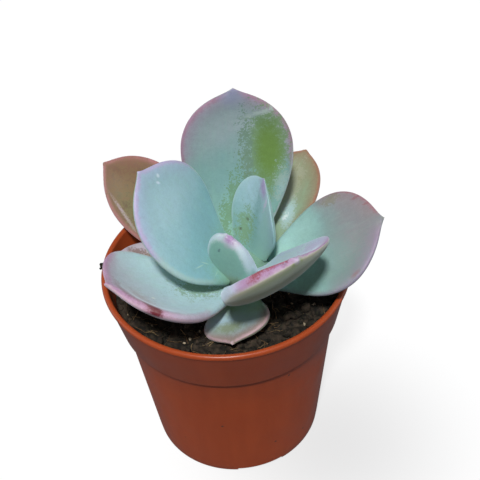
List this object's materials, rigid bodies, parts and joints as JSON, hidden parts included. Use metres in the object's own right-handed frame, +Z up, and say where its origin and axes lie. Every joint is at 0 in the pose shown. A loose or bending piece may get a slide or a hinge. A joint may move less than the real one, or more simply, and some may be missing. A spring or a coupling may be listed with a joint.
{
  "type": "potted succulent",
  "caption": "Small round nursery pot filled with peat, holding an echeveria hybrid: an open rosette of broad fleshy leaves on a short stem.",
  "frame": {"origin": "on the pot's axis, on the plane that the pot's foot stands on", "axes": "+Z up along the pot's axis, +X to the right and -Y towards a viewer in front"},
  "size_m": [0.0604, 0.0573, 0.0865],
  "materials": {
    "pot_plastic": "injection-moulded polypropylene, terracotta brown, semi-gloss with a bright orange lip",
    "peat": "near-black crumbled peat with brown fibres and pale grit",
    "stem": "green-brown young stem, dull",
    "leaf": "waxy blue-green bloom with lilac-pink margins and green patches where the bloom is rubbed off",
    "older_leaf": "olive-brown waxy skin with a red-brown margin"
  },
  "bodies": {
    "root": {"pot": "pot_plastic", "soil": "peat", "stem_with_roots": "stem", "leaf_heart_inner": "leaf", "leaf_heart_outer": "leaf", "leaf_bud_front": "leaf", "leaf_bud_back": "leaf", "leaf_left_upper": "leaf", "leaf_front_right": "leaf", "leaf_back_tall": "leaf", "leaf_left_lower": "leaf", "leaf_right": "leaf", "leaf_front_low": "leaf", "leaf_back_left": "older_leaf", "leaf_back_right": "older_leaf", "leaf_left_under": "older_leaf"}
  },
  "joints": []
}
